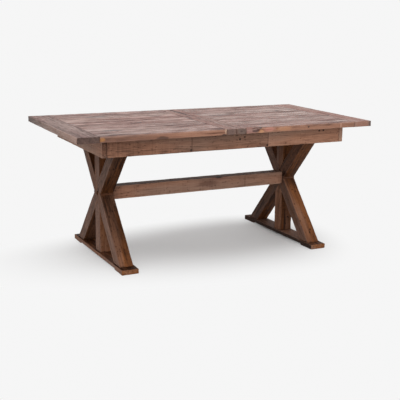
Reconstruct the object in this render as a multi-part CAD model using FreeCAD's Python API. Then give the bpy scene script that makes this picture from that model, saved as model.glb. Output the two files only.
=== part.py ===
import FreeCAD, Part
import math
import os

# Sawbuck dining table with a sliding top. X runs along the table, -Y is the front, Z is up.
# The origin is on the floor below the middle of the top. Millimetres.

# Table top
table_length = 1800.0
table_width = 900.0
table_height = 760.0
top_thickness = 32.0
end_board_width = 120.0
seam_board_width = 60.0
planks_per_half = 5
seam_gap = 1.2
eased_edge = 2.0
joint_vee = 1.2

# Tongue and groove joints of the top
tongue_thickness = 10.0
tongue_length = 12.0
tongue_setback = 25.0
glue_gap = 0.2

# Apron
apron_length = 1492.0
apron_width = 772.0
apron_depth = 91.0
apron_thickness = 25.0
corner_block_size = 40.0
corner_block_depth = 40.0

# Sliding top: each half has two runners, whose tongues slide in grooved guide rails
slide_travel = 200.0
slide_gap = 0.4
stop_gap = 1.0
top_lift = 0.5
guide_width = 38.0
guide_cheek = 12.0
guide_floor = 18.0
groove_height = 14.0
groove_depth = 15.0
runner_width = 28.0
runner_lip = 8.0
runner_setback = 20.0
runner_screws_each = 2
guide_screws_each = 4

# Cleats and leaf bearers, which cross under the guide rails
crosspiece_thickness = 28.0
crosspiece_end_gap = 0.5
cleat_width = 95.0
bearer_width = 60.0
bearer_inset = 150.0

# Trestles
trestle_inset = 146.0
leg_width = 70.0
leg_depth = 79.0
leg_foot_spread = 603.0
leg_top_inset = 106.5
post_width = 75.0
foot_length = 800.0
foot_width = 98.0
foot_height = 28.0
foot_relief = 9.0
foot_pad_length = 112.0
foot_eased_edge = 3.0
tenon_width = 40.0
tenon_length = 46.0
foot_tenon = 10.0
cleat_tenon = 14.0
fillet_flat = 10.0

# Stretcher and its bolted joint
stretcher_height = 76.0
stretcher_thickness = 72.0
bolt_diameter = 10.0
bolt_reach = 52.0
bolt_head_width = 17.0
bolt_head_height = 6.5
bolt_bore_gap = 0.5
counterbore_diameter = 25.0
counterbore_depth = 16.0
washer_diameter = 22.0
washer_thickness = 2.5
barrel_diameter = 16.0
barrel_length = 32.0
barrel_setback = 45.0
stub_height = 50.0
stub_thickness = 25.0
stub_length = 14.0

# Seam pins and latches
pin_diameter = 10.0
pin_length = 42.0
pin_hold = 24.0
pin_play = 0.3
pin_row = 210.0
latch_width = 18.0
latch_thickness = 2.5
latch_end = 14.0
latch_tab_drop = 5.0
latch_tab_width = 10.0
latch_runner_gap = 3.0
latch_gap = 0.3
latch_pivot_play = 0.05
latch_slot_play = 0.4
latch_slot_sweep = 20.0
latch_screw_diameter = 5.0
latch_screw_head = 11.0
latch_screw_head_sides = 8
latch_screw_head_height = 3.5
latch_screw_reach = 20.0

# Wood screws and coach screws
screw_sides = 6
screw_gap = 0.15
coach_diameter = 8.0
coach_head_width = 13.0
coach_head_height = 5.5
screw_diameter = 5.0
screw_head = 9.0
screw_head_height = 3.0
screw_recess = 10.0
screw_bite = 18.0
foot_screw_diameter = 6.0
foot_screw_head = 11.0
foot_screw_recess = 2.0
foot_screw_bite = 30.0

# Levels and lines that follow from the sizes above
Vec = FreeCAD.Vector
along_x = Vec(1, 0, 0)
along_y = Vec(0, 1, 0)
along_z = Vec(0, 0, 1)
half_length = table_length / 2
half_width = table_width / 2
top_under = table_height - top_thickness
top_middle = table_height - top_thickness / 2
leaf_width = 2 * slide_travel - seam_gap
frame_top = top_under - top_lift
frame_bottom = frame_top - apron_depth
inner_x = apron_length / 2 - apron_thickness
inner_y = apron_width / 2 - apron_thickness
guide_face = inner_y - guide_width
groove_top = frame_top - guide_cheek
groove_bottom = groove_top - groove_height
guide_bottom = groove_bottom - guide_floor
crosspiece_bottom = guide_bottom - crosspiece_thickness
runner_face = guide_face - slide_gap
runner_back = runner_face - runner_width
runner_bottom = groove_bottom - runner_lip
trestle_x = apron_length / 2 - trestle_inset
bearer_x = half_width - bearer_inset
leg_height = crosspiece_bottom - foot_height
leg_run = leg_foot_spread / 2 + inner_y - leg_top_inset
lean = math.atan2(leg_run, leg_height)
cross_height = foot_height + leg_height * leg_foot_spread / 2 / leg_run
seam_line = seam_gap / 2
seam_board_middle = seam_line + seam_board_width / 2
latch_row = runner_back - latch_width / 2 - latch_runner_gap
stretcher_end = trestle_x - leg_depth / 2


def block(xs, ys, zs):
    corner = Vec(min(xs), min(ys), min(zs))
    return Part.makeBox(abs(xs[1] - xs[0]), abs(ys[1] - ys[0]), abs(zs[1] - zs[0]), corner)


def rod(start, axis, diameter, length):
    return Part.makeCylinder(diameter / 2, length, start, axis)


def prism(start, axis, diameter, sides, length):
    across = along_y if abs(axis.x) > 0.5 else along_x
    other = axis.cross(across)
    corners = []
    for step in range(sides):
        turn = 2 * math.pi * step / sides
        spoke = across * math.cos(turn) + other * math.sin(turn)
        corners.append(start + spoke * (diameter / 2))
    return Part.Face(Part.makePolygon(corners + corners[:1])).extrude(axis * length)


def hex_head(start, axis, width_across_flats, height):
    return prism(start, axis, width_across_flats / math.cos(math.pi / 6), 6, height)


def screw_bar(start, axis, diameter, length):
    return prism(start, axis, diameter, screw_sides, length)


def side_profile(points, x_from, x_to):
    corners = [Vec(x_from, y, z) for y, z in points]
    return Part.Face(Part.makePolygon(corners + corners[:1])).extrude(Vec(x_to - x_from, 0, 0))


def runs(edge, axis):
    return abs(edge.tangentAt(edge.FirstParameter).dot(axis)) > 0.999


def eased(shape, size, chosen):
    return shape.makeChamfer(size, [edge for edge in shape.Edges if chosen(edge)])


def near(value, target):
    return abs(value - target) < 0.01


def drilled(shape, tools):
    reached = [tool for tool in tools if shape.BoundBox.intersect(tool.BoundBox)]
    for tool in reached:
        shape = shape.cut(tool)
    return shape


# Table top boards

def plank_rows():
    width = table_width / planks_per_half
    fronts = [-half_width + row * width for row in range(planks_per_half)]
    return [(front, front + width) for front in fronts]


def plank_profile(front, back, is_front, is_back):
    low_tongue = top_middle - tongue_thickness / 2
    high_tongue = top_middle + tongue_thickness / 2
    front_vee = eased_edge if is_front else joint_vee
    back_vee = eased_edge if is_back else joint_vee
    points = [(front + eased_edge, top_under)] if is_front else [(front, top_under)]
    if is_back:
        points += [(back - eased_edge, top_under), (back, top_under + eased_edge)]
    else:
        points += [(back, top_under), (back, low_tongue), (back + tongue_length, low_tongue)]
        points += [(back + tongue_length, high_tongue), (back, high_tongue)]
    points += [(back, table_height - back_vee), (back - back_vee, table_height)]
    points += [(front + front_vee, table_height), (front, table_height - front_vee)]
    if is_front:
        points += [(front, top_under + eased_edge)]
    else:
        groove_end = front + tongue_length + glue_gap
        points += [(front, high_tongue + glue_gap), (groove_end, high_tongue + glue_gap)]
        points += [(groove_end, low_tongue - glue_gap), (front, low_tongue - glue_gap)]
    return points


def plank(row, x_from, x_to):
    front, back = plank_rows()[row]
    is_front = row == 0
    is_back = row == planks_per_half - 1
    board = side_profile(plank_profile(front, back, is_front, is_back), x_from, x_to)
    board = eased(board, joint_vee, lambda e: runs(e, along_y) and near(e.CenterOfMass.z, table_height))
    tongue_front = front + (tongue_setback if is_front else glue_gap)
    tongue_back = back - (tongue_setback if is_back else glue_gap)
    thickness = (top_middle - tongue_thickness / 2, top_middle + tongue_thickness / 2)
    for x_end, out in ((x_from, -tongue_length), (x_to, tongue_length)):
        board = board.fuse(block((x_end, x_end + out), (tongue_front, tongue_back), thickness))
    return board.removeSplitter()


def cross_board(x_joint, x_free):
    board = block((x_joint, x_free), (-half_width, half_width), (top_under, table_height))

    def at_joint(edge):
        return near(edge.CenterOfMass.x, x_joint) and near(edge.CenterOfMass.z, table_height)

    def at_end(edge):
        return runs(edge, along_x) and near(abs(edge.CenterOfMass.y), half_width)

    board = eased(board, joint_vee, at_joint)
    board = eased(board, eased_edge, lambda e: runs(e, along_y) and near(e.CenterOfMass.x, x_free))
    board = eased(board, eased_edge, at_end)
    inward = math.copysign(tongue_length + glue_gap, x_free - x_joint)
    reach = half_width - tongue_setback + glue_gap
    rise = tongue_thickness / 2 + glue_gap
    groove = block((x_joint, x_joint + inward), (-reach, reach), (top_middle - rise, top_middle + rise))
    return board.cut(groove)


def pin_holes(x_mouth, inward, diameter, depth):
    mouths = [Vec(x_mouth, y, top_middle) for y in (-pin_row, pin_row)]
    return [rod(mouth, along_x * inward, diameter, depth) for mouth in mouths]


def pins(x_mouth, inward):
    start = x_mouth + inward * pin_hold
    return Part.makeCompound(pin_holes(start, -inward, pin_diameter, pin_length))


def pin_sockets(x_mouth, inward):
    depth = pin_length - pin_hold + pin_play - seam_gap
    return pin_holes(x_mouth, inward, pin_diameter + 2 * pin_play, depth)


def pin_seats(x_mouth, inward):
    return pin_holes(x_mouth, inward, pin_diameter, pin_hold)


# Sliding gear

def runner_ends():
    return (runner_setback, inner_x - slide_travel - stop_gap)


def runner(side, row_side):
    near_end, far_end = runner_ends()
    xs = (side * near_end, side * far_end)
    body = block(xs, (row_side * runner_back, row_side * runner_face), (runner_bottom, top_under))
    tongue_reach = guide_face + groove_depth - slide_gap
    heights = (groove_bottom + slide_gap, groove_top - slide_gap)
    tongue = block(xs, (row_side * runner_face, row_side * tongue_reach), heights)
    return drilled(body.fuse(tongue).removeSplitter(), runner_screw_bores(side))


def runner_screw_places(side):
    near_end, far_end = runner_ends()
    pitch = (far_end - near_end) / runner_screws_each
    row = (runner_back + runner_face) / 2
    for number in range(runner_screws_each):
        for row_side in (-1, 1):
            yield side * (near_end + (number + 0.5) * pitch), row_side * row


def wood_screw(head, axis, diameter, head_diameter, head_height, length):
    shank = screw_bar(head, axis, diameter, length)
    return screw_bar(head, axis, head_diameter, head_height).fuse(shank).removeSplitter()


def wood_screw_bores(mouth, axis, diameter, head_diameter, head_depth, length):
    head_bore = screw_bar(mouth, axis, head_diameter + 2 * screw_gap, head_depth)
    return [head_bore, screw_bar(mouth, axis, diameter + 2 * screw_gap, length)]


def runner_screws(side):
    head_level = runner_bottom + screw_recess
    length = top_under + screw_bite - head_level
    made = []
    for x, y in runner_screw_places(side):
        head = Vec(x, y, head_level)
        made.append(wood_screw(head, along_z, screw_diameter, screw_head, screw_head_height, length))
    return Part.makeCompound(made)


def runner_screw_bores(side):
    head_depth = screw_recess + screw_head_height
    length = top_under + screw_bite - runner_bottom
    bores = []
    for x, y in runner_screw_places(side):
        mouth = Vec(x, y, runner_bottom)
        bores += wood_screw_bores(mouth, along_z, screw_diameter, screw_head, head_depth, length)
    return bores


def guide_screw_places(row_side):
    pitch = 2 * inner_x / guide_screws_each
    level = (groove_top + groove_bottom) / 2
    for number in range(guide_screws_each):
        yield Vec(-inner_x + (number + 0.5) * pitch, row_side * (guide_face + groove_depth), level)


def guide_screws():
    made = []
    length = guide_width - groove_depth + screw_bite
    for row_side in (-1, 1):
        for head in guide_screw_places(row_side):
            outward = along_y * row_side
            made.append(wood_screw(head, outward, screw_diameter, screw_head, screw_head_height, length))
    return Part.makeCompound(made)


def guide_screw_bores():
    bores = []
    length = guide_width - groove_depth + screw_bite
    for row_side in (-1, 1):
        for head in guide_screw_places(row_side):
            outward = along_y * row_side
            sizes = (screw_diameter, screw_head, screw_head_height, length)
            bores += wood_screw_bores(head, outward, *sizes)
    return bores


def guide_rail(row_side):
    ys = (row_side * guide_face, row_side * inner_y)
    rail = block((-inner_x, inner_x), ys, (guide_bottom, frame_top))
    groove_ys = (row_side * guide_face, row_side * (guide_face + groove_depth))
    rail = rail.cut(block((-inner_x, inner_x), groove_ys, (groove_bottom, groove_top)))
    return drilled(rail, guide_screw_bores() + coach_bores())


# Apron

def long_apron(row_side):
    ys = (row_side * inner_y, row_side * apron_width / 2)
    board = block((-inner_x, inner_x), ys, (frame_bottom, frame_top))
    board = eased(board, eased_edge, lambda e: runs(e, along_x) and near(e.CenterOfMass.z, frame_bottom))
    return drilled(board, guide_screw_bores())


def end_apron(side):
    outer = side * apron_length / 2
    ys = (-apron_width / 2, apron_width / 2)
    board = block((side * inner_x, outer), ys, (frame_bottom, frame_top))
    board = eased(board, eased_edge, lambda e: runs(e, along_z) and near(e.CenterOfMass.x, outer))
    return eased(board, eased_edge, lambda e: near(e.CenterOfMass.z, frame_bottom))


def corner_blocks():
    made = []
    for side in (-1, 1):
        for row_side in (-1, 1):
            corner = Vec(side * inner_x, row_side * inner_y, guide_bottom - corner_block_depth)
            inward_x = corner - along_x * (side * corner_block_size)
            inward_y = corner - along_y * (row_side * corner_block_size)
            face = Part.Face(Part.makePolygon([corner, inward_x, inward_y, corner]))
            made.append(face.extrude(along_z * corner_block_depth))
    return Part.makeCompound(made)


# Cleats and bearers, screwed up into the guide rails

def crosspiece_centres():
    for side in (-1, 1):
        yield side * trestle_x
        yield side * bearer_x


def coach_seats():
    row = inner_y - (guide_width - groove_depth) / 2
    for x in crosspiece_centres():
        for row_side in (-1, 1):
            yield Vec(x, row_side * row, crosspiece_bottom)


def coach_screws():
    made = []
    for seat in coach_seats():
        head = hex_head(seat, along_z * -1, coach_head_width, coach_head_height)
        shank = screw_bar(seat, along_z, coach_diameter, crosspiece_thickness + guide_floor)
        made.append(head.fuse(shank).removeSplitter())
    return Part.makeCompound(made)


def coach_bores():
    depth = crosspiece_thickness + guide_floor
    return [screw_bar(seat, along_z, coach_diameter + 2 * screw_gap, depth) for seat in coach_seats()]


def crosspiece(x_middle, width):
    reach = inner_y - crosspiece_end_gap
    xs = (x_middle - width / 2, x_middle + width / 2)
    board = block(xs, (-reach, reach), (crosspiece_bottom, guide_bottom))

    def lower_long_edge(edge):
        return runs(edge, along_y) and near(edge.CenterOfMass.z, crosspiece_bottom)

    return drilled(eased(board, eased_edge, lower_long_edge), coach_bores())


# Trestles

def leg_middle(direction, level):
    return direction * (level - cross_height) * math.tan(lean)


def leg_outline(direction, x_from, x_to, low, high):
    half = leg_width / 2 / math.cos(lean)
    bottom = leg_middle(direction, low)
    top = leg_middle(direction, high)
    points = [(bottom - half, low), (bottom + half, low), (top + half, high), (top - half, high)]
    return side_profile(points, x_from, x_to)


def tenon(x_middle, y_middle, seat, height, gap):
    half_x = tenon_width / 2 + gap
    half_y = tenon_length / 2 + gap
    rise = height + math.copysign(gap, height)
    xs = (x_middle - half_x, x_middle + half_x)
    return block(xs, (y_middle - half_y, y_middle + half_y), (seat, seat + rise))


def tenon_places():
    low = leg_middle(1, foot_height)
    high = leg_middle(1, crosspiece_bottom)
    return (low, 0.0, -low), (high, 0.0, -high)


def leg(side, direction):
    middle = side * trestle_x
    ends = (middle - leg_depth / 2, middle + leg_depth / 2)
    bar = leg_outline(direction, ends[0], ends[1], foot_height, crosspiece_bottom)
    bar = eased(bar, eased_edge, lambda e: not runs(e, along_x) and not runs(e, along_y))
    # The leg that leans back is halved on its inner side, the other on its outer side.
    notch_end = middle - side * direction * leg_depth / 2
    notch_xs = sorted((middle, notch_end))
    bar = bar.cut(leg_outline(-direction, notch_xs[0], notch_xs[1], foot_height, crosspiece_bottom))
    low = leg_middle(direction, foot_height)
    high = leg_middle(direction, crosspiece_bottom)
    bar = bar.fuse(tenon(middle, low, foot_height, -foot_tenon, 0.0))
    bar = bar.fuse(tenon(middle, high, crosspiece_bottom, cleat_tenon, 0.0)).removeSplitter()
    bar = drilled(bar, foot_screw_bores(side) + stretcher_bores(side))
    return bar.cut(stub_tenon(side, glue_gap))


def post(side, upper):
    middle = side * trestle_x
    ends = (middle - leg_depth / 2, middle + leg_depth / 2)
    sense = 1 if upper else -1
    seat = crosspiece_bottom if upper else foot_height
    point = cross_height + sense * leg_width / 2 / math.sin(lean)
    shoulder = point + sense * post_width / 2 / math.tan(lean)
    half = post_width / 2
    points = [(-half, seat), (half, seat), (half, shoulder), (0.0, point), (-half, shoulder)]
    bar = side_profile(points, ends[0], ends[1])
    bar = eased(bar, eased_edge, lambda e: runs(e, along_z))
    bar = bar.fuse(tenon(middle, 0.0, seat, cleat_tenon if upper else -foot_tenon, 0.0))
    return drilled(bar.removeSplitter(), foot_screw_bores(side))


def foot(side):
    middle = side * trestle_x
    end = foot_length / 2
    pad = end - foot_pad_length
    points = [(-end, 0.0), (-pad, 0.0), (-pad + foot_relief, foot_relief)]
    points += [(pad - foot_relief, foot_relief), (pad, 0.0), (end, 0.0)]
    points += [(end, foot_height), (-end, foot_height)]
    board = side_profile(points, middle - foot_width / 2, middle + foot_width / 2)

    def corner_or_top(edge):
        return runs(edge, along_z) or near(edge.CenterOfMass.z, foot_height)

    board = eased(board, foot_eased_edge, corner_or_top)
    for y in tenon_places()[0]:
        board = board.cut(tenon(middle, y, foot_height, -foot_tenon, glue_gap))
    return drilled(board, foot_screw_bores(side))


def cleat(side):
    board = crosspiece(side * trestle_x, cleat_width)
    for y in tenon_places()[1]:
        board = board.cut(tenon(side * trestle_x, y, crosspiece_bottom, cleat_tenon, glue_gap))
    return board


def foot_screw_seat():
    return foot_relief + foot_screw_recess


def foot_screw(seat):
    length = foot_height + foot_screw_bite - foot_screw_seat()
    return wood_screw(seat, along_z, foot_screw_diameter, foot_screw_head, screw_head_height, length)


def foot_screws():
    made = []
    for side in (-1, 1):
        for y in tenon_places()[0]:
            made.append(foot_screw(Vec(side * trestle_x, y, foot_screw_seat())))
    return Part.makeCompound(made)


def foot_screw_bores(side):
    head_depth = foot_screw_seat() + screw_head_height
    length = foot_height + foot_screw_bite
    bores = []
    for y in tenon_places()[0]:
        mouth = Vec(side * trestle_x, y, 0.0)
        sizes = (foot_screw_diameter, foot_screw_head, head_depth, length)
        bores += wood_screw_bores(mouth, along_z, *sizes)
    return bores


# Small strips that fill the front and back notches of each crossing to a narrow flat

def crossing_fillets():
    root = leg_width / 2 / math.cos(lean) + glue_gap
    face = root + fillet_flat / 2 * math.tan(lean)
    levels = (cross_height - fillet_flat / 2, cross_height + fillet_flat / 2)
    made = []
    for side in (-1, 1):
        middle = side * trestle_x
        for row_side in (-1, 1):
            points = [(row_side * root, cross_height)]
            points += [(row_side * face, level) for level in levels]
            made.append(side_profile(points, middle - leg_depth / 2, middle + leg_depth / 2))
    return Part.makeCompound(made)


# Stretcher, bolted through the crossings into barrel nuts

def crossing_face(side):
    return Vec(side * (trestle_x + leg_depth / 2), 0.0, cross_height)


def washer_seat(side):
    return crossing_face(side) - along_x * (side * counterbore_depth)


def bolt_length():
    return washer_thickness + leg_depth - counterbore_depth + bolt_reach


def stretcher_bores(side):
    inward = along_x * -side
    bores = [rod(crossing_face(side), inward, counterbore_diameter, counterbore_depth)]
    bores.append(rod(washer_seat(side), inward, bolt_diameter + 2 * bolt_bore_gap, bolt_length()))
    return bores


def stub_tenon(side, gap):
    half_y = stub_thickness / 2 + gap
    half_z = stub_height / 2 + gap
    xs = (side * stretcher_end, side * (stretcher_end + stub_length + gap))
    return block(xs, (-half_y, half_y), (cross_height - half_z, cross_height + half_z))


def barrel_place(side):
    return Vec(side * (stretcher_end - barrel_setback), -barrel_length / 2, cross_height)


def stretcher():
    ys = (-stretcher_thickness / 2, stretcher_thickness / 2)
    zs = (cross_height - stretcher_height / 2, cross_height + stretcher_height / 2)
    bar = block((-stretcher_end, stretcher_end), ys, zs)
    bar = eased(bar, eased_edge, lambda e: runs(e, along_x))
    for side in (-1, 1):
        depth = barrel_length / 2 + stretcher_thickness / 2
        barrel_bore = rod(barrel_place(side), along_y, barrel_diameter + 2 * screw_gap, depth)
        bar = drilled(bar.fuse(stub_tenon(side, 0.0)), stretcher_bores(side) + [barrel_bore])
    return bar.removeSplitter()


def stretcher_bolts():
    made = []
    for side in (-1, 1):
        seat = washer_seat(side) + along_x * (side * washer_thickness)
        head = hex_head(seat, along_x * side, bolt_head_width, bolt_head_height)
        shank = rod(seat, along_x * -side, bolt_diameter, bolt_length())
        made.append(head.fuse(shank).removeSplitter())
    return Part.makeCompound(made)


def washers():
    made = []
    for side in (-1, 1):
        disc = rod(washer_seat(side), along_x * side, washer_diameter, washer_thickness)
        bore = rod(washer_seat(side), along_x * side, bolt_diameter + 2 * screw_gap, washer_thickness)
        made.append(disc.cut(bore))
    return Part.makeCompound(made)


def barrel_nuts():
    made = []
    for side in (-1, 1):
        nut = rod(barrel_place(side), along_y, barrel_diameter, barrel_length)
        bore_start = Vec(side * stretcher_end, 0.0, cross_height)
        bore_length = barrel_setback + barrel_diameter
        bore = rod(bore_start, along_x * -side, bolt_diameter + 2 * screw_gap, bore_length)
        made.append(nut.cut(bore))
    return Part.makeCompound(made)


# Latches under the seam: at rest they lie along the left seam board, and turned a quarter
# they hold the right one

def latch_level():
    return top_under - latch_gap - latch_thickness


def latch(row_side):
    reach = 2 * seam_board_middle
    pivot = Vec(-seam_board_middle, row_side * latch_row, latch_level())
    end = pivot + along_x * (reach + latch_end - latch_width / 2)
    ys = (pivot.y - latch_width / 2, pivot.y + latch_width / 2)
    zs = (latch_level(), latch_level() + latch_thickness)
    plate = block((pivot.x, end.x), ys, zs)
    for centre in (pivot, end):
        plate = plate.fuse(rod(centre, along_z, latch_width, latch_thickness))
    tab_xs = (end.x + latch_width / 4 - latch_thickness, end.x + latch_width / 4)
    tab_ys = (pivot.y - latch_tab_width / 2, pivot.y + latch_tab_width / 2)
    plate = plate.fuse(block(tab_xs, tab_ys, (zs[0] - latch_tab_drop, zs[0])))
    plate = plate.cut(rod(pivot, along_z, latch_screw_diameter + 2 * latch_pivot_play, latch_thickness))
    half_slot = latch_screw_diameter / 2 + latch_slot_play
    sweep_start = -latch_slot_sweep if row_side < 0 else 0.0
    ring = Part.makeCylinder(reach + half_slot, latch_thickness, pivot, along_z, latch_slot_sweep)
    ring = ring.cut(Part.makeCylinder(reach - half_slot, latch_thickness, pivot, along_z))
    ring.rotate(pivot, along_z, sweep_start)
    slot_end = rod(pivot + along_x * reach, along_z, 2 * half_slot, latch_thickness)
    plate = plate.cut(ring).cut(slot_end).removeSplitter()
    plate.rotate(pivot, along_z, -90.0 * row_side)
    return plate


def latch_screw(x, y):
    seat = Vec(x, y, latch_level() - latch_gap)
    head = prism(seat, along_z * -1, latch_screw_head, latch_screw_head_sides, latch_screw_head_height)
    shank = rod(seat, along_z, latch_screw_diameter, top_under + latch_screw_reach - seat.z)
    return head.fuse(shank).removeSplitter()


def latch_screws(side):
    rows = (-latch_row, latch_row)
    return Part.makeCompound([latch_screw(side * seam_board_middle, y) for y in rows])


def latch_screw_bores(side):
    bores = []
    for row_side in (-1, 1):
        mouth = Vec(side * seam_board_middle, row_side * latch_row, top_under)
        bores.append(rod(mouth, along_z, latch_screw_diameter + 2 * screw_gap, latch_screw_reach))
    return bores


# The loose leaf, built where it is used and stowed lengthwise on its bearers

def stowed(shape):
    moved = shape.copy()
    moved.rotate(Vec(0, 0, 0), along_z, 90.0)
    moved.translate(along_z * (guide_bottom - top_under))
    return moved


def leaf_nodes():
    edge = leaf_width / 2
    joint = edge - seam_board_width
    left = drilled(cross_board(-joint, -edge), pin_sockets(-edge, 1))
    right = drilled(cross_board(joint, edge), pin_seats(edge, -1))
    planks = Part.makeCompound([plank(row, -joint, joint) for row in range(planks_per_half)])
    made = {"leaf_left_board": left, "leaf_right_board": right, "leaf_planks": planks}
    made["leaf_pins"] = pins(edge, -1)
    return {name: stowed(shape) for name, shape in made.items()}


# Assembly

def half_nodes(name, side):
    joint = seam_line + seam_board_width
    outer_joint = half_length - end_board_width
    sockets = pin_sockets(seam_line, 1) if side > 0 else pin_seats(-seam_line, -1)
    made = {}
    made[name + "_end_board"] = cross_board(side * outer_joint, side * half_length)
    seam_board = cross_board(side * joint, side * seam_line)
    made[name + "_seam_board"] = drilled(seam_board, sockets + latch_screw_bores(side))
    xs = sorted((side * joint, side * outer_joint))
    for row in range(planks_per_half):
        board = drilled(plank(row, xs[0], xs[1]), runner_screw_bores(side))
        made[name + "_plank_%d" % (row + 1)] = board
    made[name + "_front_runner"] = runner(side, -1)
    made[name + "_back_runner"] = runner(side, 1)
    made[name + "_runner_screws"] = runner_screws(side)
    return made


def trestle_nodes(name, side):
    made = {}
    made[name + "_foot"] = foot(side)
    made[name + "_leg_leaning_back"] = leg(side, 1)
    made[name + "_leg_leaning_forward"] = leg(side, -1)
    made[name + "_upper_post"] = post(side, True)
    made[name + "_lower_post"] = post(side, False)
    made[name + "_cleat"] = cleat(side)
    made[name + "_leaf_bearer"] = crosspiece(side * bearer_x, bearer_width)
    made[name + "_end_apron"] = end_apron(side)
    return made


def table_nodes():
    made = {}
    for name, side in (("left", -1), ("right", 1)):
        made.update(half_nodes(name, side))
        made.update(trestle_nodes(name, side))
    for name, row_side in (("front", -1), ("back", 1)):
        made[name + "_apron"] = long_apron(row_side)
        made[name + "_guide_rail"] = guide_rail(row_side)
        made[name + "_latch"] = latch(row_side)
    made.update(leaf_nodes())
    made["seam_pins"] = pins(-seam_line, -1)
    made["latch_pivot_screws"] = latch_screws(-1)
    made["latch_keeper_screws"] = latch_screws(1)
    made["guide_screws"] = guide_screws()
    made["corner_blocks"] = corner_blocks()
    made["coach_screws"] = coach_screws()
    made["foot_screws"] = foot_screws()
    made["crossing_fillets"] = crossing_fillets()
    made["stretcher"] = stretcher()
    made["stretcher_bolts"] = stretcher_bolts()
    made["stretcher_washers"] = washers()
    made["barrel_nuts"] = barrel_nuts()
    return made


os.makedirs("parts", exist_ok=True)
for node_name, node_shape in table_nodes().items():
    solids = node_shape.Solids
    result = solids[0] if len(solids) == 1 else Part.makeCompound(solids)
    result.exportStep("parts/" + node_name + ".step")
    print(node_name, len(solids), round(result.Volume), result.isValid())
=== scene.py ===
import math
import random
import bmesh
import bpy
from mathutils import Euler, Matrix, Vector, noise


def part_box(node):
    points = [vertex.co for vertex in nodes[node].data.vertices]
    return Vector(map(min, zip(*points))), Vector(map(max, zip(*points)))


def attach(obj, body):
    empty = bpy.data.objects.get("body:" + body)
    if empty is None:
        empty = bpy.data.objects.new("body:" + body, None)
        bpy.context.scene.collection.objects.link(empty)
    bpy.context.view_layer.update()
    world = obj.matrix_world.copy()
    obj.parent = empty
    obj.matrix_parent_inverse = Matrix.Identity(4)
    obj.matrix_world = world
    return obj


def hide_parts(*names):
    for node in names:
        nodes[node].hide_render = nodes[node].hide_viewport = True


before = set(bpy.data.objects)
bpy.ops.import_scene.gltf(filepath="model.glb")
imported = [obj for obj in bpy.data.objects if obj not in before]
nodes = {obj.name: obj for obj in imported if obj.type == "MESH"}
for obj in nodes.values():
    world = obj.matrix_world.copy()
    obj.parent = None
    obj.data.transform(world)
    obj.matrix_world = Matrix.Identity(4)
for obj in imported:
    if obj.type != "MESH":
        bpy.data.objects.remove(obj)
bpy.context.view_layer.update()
scene = bpy.context.scene
scene.view_settings.view_transform = "Standard"
print("frame loaded:", len(nodes), "nodes")


# Shader sockets with arithmetic

class Wire:
    def __init__(self, tree, socket=None):
        self.tree = tree
        self.socket = socket

    def node(self, kind, settings=None, sockets=None, out=0):
        made = self.tree.nodes.new("ShaderNode" + kind)
        for name, value in (settings or {}).items():
            if name == "stops":
                ramp = made.color_ramp.elements
                for number, (spot, colour) in enumerate(value):
                    stop = ramp[number] if number < 2 else ramp.new(spot)
                    stop.position = spot
                    stop.color = colour
            else:
                setattr(made, name, value)
        for name, value in (sockets or {}).items():
            if isinstance(value, Wire):
                self.tree.links.new(value.socket, made.inputs[name])
            else:
                made.inputs[name].default_value = value
        return Wire(self.tree, made.outputs[out])

    def math(self, operation, *others):
        return self.node("Math", {"operation": operation}, dict(enumerate((self, *others))))

    def __add__(self, other):
        return self.math("ADD", other)

    def __sub__(self, other):
        return self.math("SUBTRACT", other)

    def __rsub__(self, other):
        return self.node("Math", {"operation": "SUBTRACT"}, {0: other, 1: self})

    def __mul__(self, other):
        return self.math("MULTIPLY", other)

    def __truediv__(self, other):
        return self.math("DIVIDE", other)

    __radd__ = __add__
    __rmul__ = __mul__

    def vector(self, operation, other):
        return self.node("VectorMath", {"operation": operation}, {0: self, 1: other})

    def length(self):
        return self.node("VectorMath", {"operation": "LENGTH"}, {0: self}, "Value")

    def smooth(self, low, high):
        settings = {"interpolation_type": "SMOOTHSTEP"}
        return self.node("MapRange", settings, {"Value": self, "From Min": low, "From Max": high})

    def mix(self, first, second):
        return self.node("Mix", {"data_type": "RGBA"}, {0: self, 6: first, 7: second}, 2)

    def noise(self, scale, detail, out="Fac"):
        stretched = self.vector("MULTIPLY", scale)
        return self.node("TexNoise", {}, {"Vector": stretched, "Scale": 1.0, "Detail": detail}, out)

    def toned(self, colours):
        stops = [(number / 2, shade(*colour)) for number, colour in enumerate(colours)]
        return self.node("ValToRGB", {"stops": stops}, {"Fac": self})

    def attribute(self, name):
        return self.node("Attribute", {"attribute_name": name}, out="Fac")

    def feed(self, surface, socket):
        self.tree.links.new(self.socket, surface.inputs[socket])


def shade(red, green, blue):
    # a screen colour, 0 to 255, made linear
    steps = [value / 255 for value in (red, green, blue)]
    return tuple(((step + 0.055) / 1.055) ** 2.4 for step in steps) + (1.0,)


def blankFinish(name):
    material = bpy.data.materials.new(name)
    material.use_nodes = True
    tree = material.node_tree
    return material, Wire(tree), tree.nodes["Principled BSDF"]


# Camera at the photograph's angle

cameraLook = {
    "place": (-2.1689, -4.3373, 1.4016),
    "yaw": 26.654,      # degrees to the right of straight ahead
    "dip": 13.138,
    "tilt": 0.796,
    "lens": 74.743,
    "shift": (0.0004, -0.0005),
}


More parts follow.
